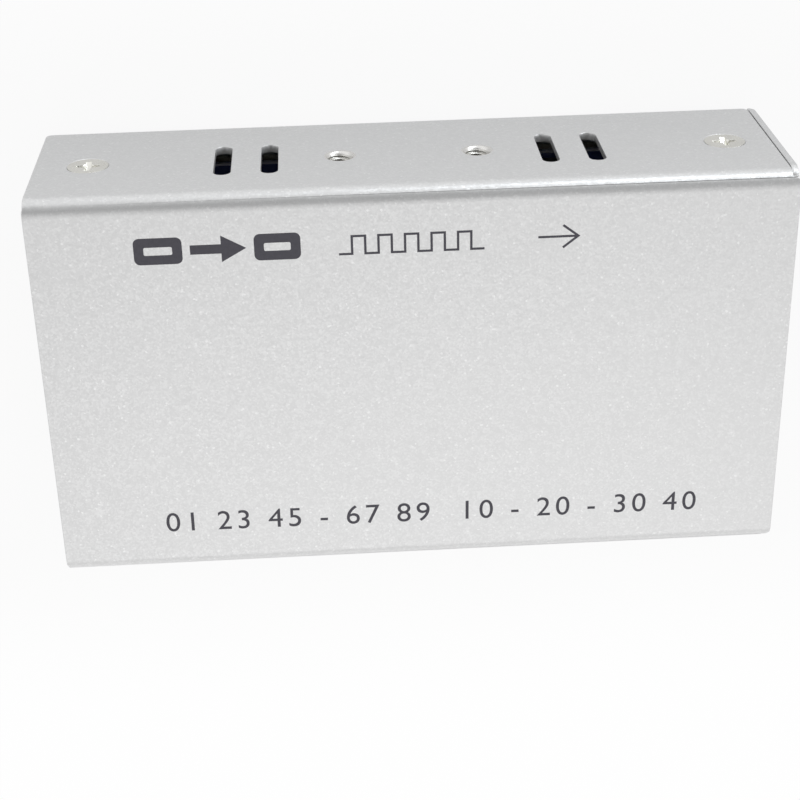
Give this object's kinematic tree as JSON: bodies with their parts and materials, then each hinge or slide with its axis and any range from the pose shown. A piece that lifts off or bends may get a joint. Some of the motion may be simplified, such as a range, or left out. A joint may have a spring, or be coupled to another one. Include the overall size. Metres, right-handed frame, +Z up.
{
  "type": "hdmi extender",
  "caption": "Folded sheet-metal box of a wired video extender, with a video and a power socket at one end, a network socket at the other, side vents and ear holes.",
  "frame": {"origin": "middle of the footprint, at the underside of the feet", "axes": "+X along the length, from the video socket to the network socket; +Y across, towards the wall that the picture shows; +Z up, out of the printed face"},
  "size_m": [0.0906, 0.05, 0.0255],
  "materials": {
    "case_paint": "silver powder coat with fine sparkle",
    "screw_nickel": "bright nickel plate",
    "foot_rubber": "matt black rubber",
    "film": "translucent insulating film",
    "brass": "turned brass",
    "board": "dark blue solder mask",
    "socket_steel": "nickel-plated sheet",
    "socket_black": "moulded black plastic",
    "contact_gold": "gold plate",
    "pin_nickel": "nickel plate",
    "lamp_blue": "clear blue resin",
    "lamp_amber": "milky clear resin",
    "tin": "tinned copper",
    "chip_black": "moulded epoxy",
    "pad": "soft silicone pad",
    "sink": "black anodised aluminium",
    "transformer_black": "moulded plastic case",
    "can": "drawn aluminium can",
    "ferrite": "dark ferrite",
    "fuse_green": "green polymer fuse",
    "ceramic_tan": "sintered ceramic",
    "resistor_black": "glazed ceramic chip"
  },
  "bodies": {
    "root": {"cover": "case_paint", "base": "case_paint", "cover_screws": "screw_nickel", "board_screws": "screw_nickel", "rubber_feet": "foot_rubber", "insulation_sheet": "film", "board_standoffs": "brass", "main_board": "board", "video_shell": "socket_steel", "network_shield": "socket_steel", "video_tongue": "socket_black", "power_body": "socket_black", "network_housing": "socket_black", "lamp_holder": "socket_black", "capacitor_bases": "socket_black", "video_contacts": "contact_gold", "network_contacts": "contact_gold", "power_pin": "pin_nickel", "power_spring": "pin_nickel", "power_lamp": "lamp_blue", "network_lamps": "lamp_amber", "lamp_leads": "tin", "transformer_leads": "tin", "chip_leads": "tin", "extender_chip": "chip_black", "control_chip_body": "chip_black", "memory_chips": "chip_black", "regulator": "chip_black", "thermal_pad": "pad", "heat_sink": "sink", "line_transformer": "transformer_black", "crystal": "can", "capacitor_cans": "can", "power_inductors": "ferrite", "signal_chokes": "ferrite", "input_fuse": "fuse_green", "ceramic_capacitors": "ceramic_tan", "chip_resistors": "resistor_black"}
  },
  "joints": []
}
